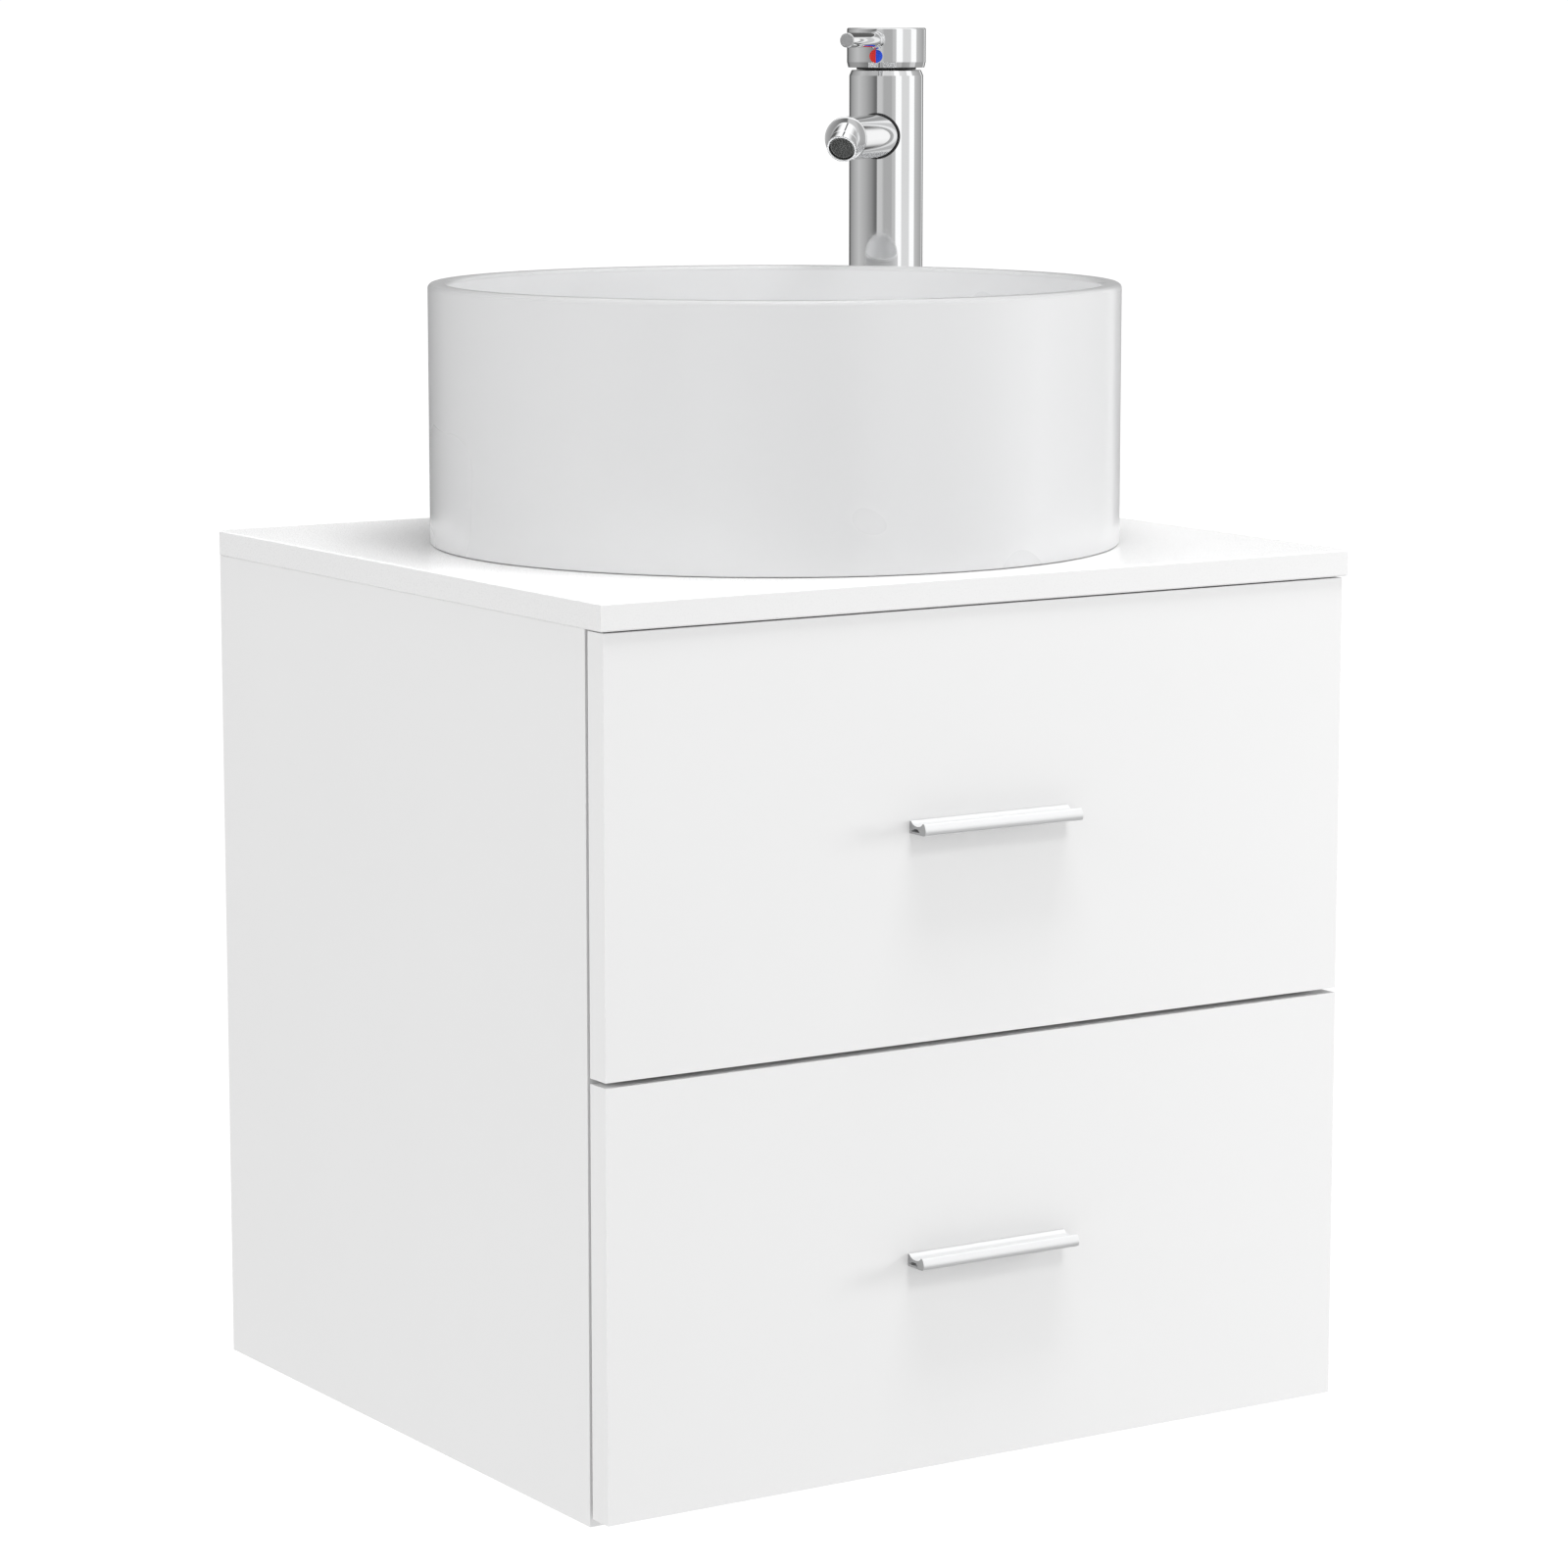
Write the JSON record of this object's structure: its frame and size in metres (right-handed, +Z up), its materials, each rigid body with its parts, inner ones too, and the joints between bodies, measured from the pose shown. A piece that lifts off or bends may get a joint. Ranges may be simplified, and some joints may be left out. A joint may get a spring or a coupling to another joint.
{
  "type": "vessel sink vanity",
  "caption": "Wall-hung vanity with soft-running drawers, a round vessel basin on the counter and a tall single-lever mixer tap with bottle trap.",
  "frame": {"origin": "middle of the footprint, on the level of the cabinet's underside", "axes": "+Z up, +Y to the wall, +X to the right along the front"},
  "size_m": [0.494, 0.462, 0.7935],
  "materials": {
    "white_board": "white melamine-faced board, fine satin",
    "counter_board": "white laminated board, silk gloss",
    "drawer_board": "white coated board, matt",
    "glazed_ceramic": "gloss",
    "chrome": "polished",
    "satin_aluminium": "satin anodised",
    "zinc_steel": "bright zinc",
    "brass": "machined",
    "black_rubber": "matt",
    "dark_plastic": "matt",
    "indicator_plastic": "gloss, one half red and one half blue"
  },
  "bodies": {
    "cabinet": {"back_rail_lower": "white_board", "back_rail_upper": "white_board", "basin": "glazed_ceramic", "bottom_panel": "white_board", "counter_top": "counter_board", "drain_body": "chrome", "drain_gasket": "black_rubber", "drain_locknut": "chrome", "front_rail": "white_board", "lower_slide_cabinet_left": "zinc_steel", "lower_slide_cabinet_right": "zinc_steel", "side_panel_left": "white_board", "side_panel_right": "white_board", "tap_aerator": "dark_plastic", "tap_base_gasket": "black_rubber", "tap_body": "chrome", "tap_cartridge": "brass", "tap_inlet_cold": "brass", "tap_inlet_hot": "brass", "tap_mounting_nut": "brass", "tap_mounting_stud": "brass", "tap_mounting_washer": "zinc_steel", "tap_spout": "chrome", "trap_bottle": "chrome", "trap_inlet_nut": "chrome", "trap_inlet_tube": "chrome", "trap_outlet_nut": "chrome", "trap_outlet_tube": "chrome", "trap_wall_rosette": "chrome", "upper_slide_cabinet_left": "zinc_steel", "upper_slide_cabinet_right": "zinc_steel", "wall_hanger_left": "zinc_steel", "wall_hanger_right": "zinc_steel"},
    "upper_drawer": {"upper_drawer_back_left": "drawer_board", "upper_drawer_back_right": "drawer_board", "upper_drawer_bottom": "drawer_board", "upper_drawer_front": "white_board", "upper_drawer_handle": "satin_aluminium", "upper_drawer_pipe_surround": "drawer_board", "upper_drawer_side_left": "drawer_board", "upper_drawer_side_right": "drawer_board", "upper_slide_drawer_left": "zinc_steel", "upper_slide_drawer_right": "zinc_steel"},
    "upper_slide_middle": {"upper_slide_middle_left": "zinc_steel", "upper_slide_middle_right": "zinc_steel"},
    "lower_drawer": {"lower_drawer_back": "drawer_board", "lower_drawer_bottom": "drawer_board", "lower_drawer_front": "white_board", "lower_drawer_handle": "satin_aluminium", "lower_drawer_side_left": "drawer_board", "lower_drawer_side_right": "drawer_board", "lower_slide_drawer_left": "zinc_steel", "lower_slide_drawer_right": "zinc_steel"},
    "lower_slide_middle": {"lower_slide_middle_left": "zinc_steel", "lower_slide_middle_right": "zinc_steel"},
    "drain_plug": {"drain_plug": "chrome"},
    "tap_swivel": {"tap_swivel_collar": "dark_plastic"},
    "tap_lever_cap": {"tap_handle": "chrome", "tap_lever": "chrome", "tap_indicator": "indicator_plastic"}
  },
  "joints": [
    {"name": "upper_drawer_slide", "type": "slide", "parent": "cabinet", "child": "upper_drawer", "axis": [0, -1, 0], "range_m": [0, 0.35]},
    {"name": "upper_middle_slide", "type": "slide", "parent": "cabinet", "child": "upper_slide_middle", "axis": [0, -1, 0], "range_m": [0, 0.175]},
    {"name": "lower_drawer_slide", "type": "slide", "parent": "cabinet", "child": "lower_drawer", "axis": [0, -1, 0], "range_m": [0, 0.35]},
    {"name": "lower_middle_slide", "type": "slide", "parent": "cabinet", "child": "lower_slide_middle", "axis": [0, -1, 0], "range_m": [0, 0.175]},
    {"name": "drain_plug_lift", "type": "slide", "parent": "cabinet", "child": "drain_plug", "axis": [0, 0, 1], "range_m": [0, 0.008]},
    {"name": "tap_swivel_turn", "type": "hinge", "parent": "cabinet", "child": "tap_swivel", "pos_m": [0.194, 0.179, 0.7695], "axis": [0, 0, 1], "range_deg": [-50, 50]},
    {"name": "tap_lever_lift", "type": "hinge", "parent": "tap_swivel", "child": "tap_lever_cap", "pos_m": [0.194, 0.179, 0.7625], "axis": [-0.6561, 0.7547, 0], "range_deg": [0, 16]}
  ],
  "couplings": [
    {"joint": "upper_middle_slide", "follows": "upper_drawer_slide", "ratio": 0.5},
    {"joint": "lower_middle_slide", "follows": "lower_drawer_slide", "ratio": 0.5}
  ]
}
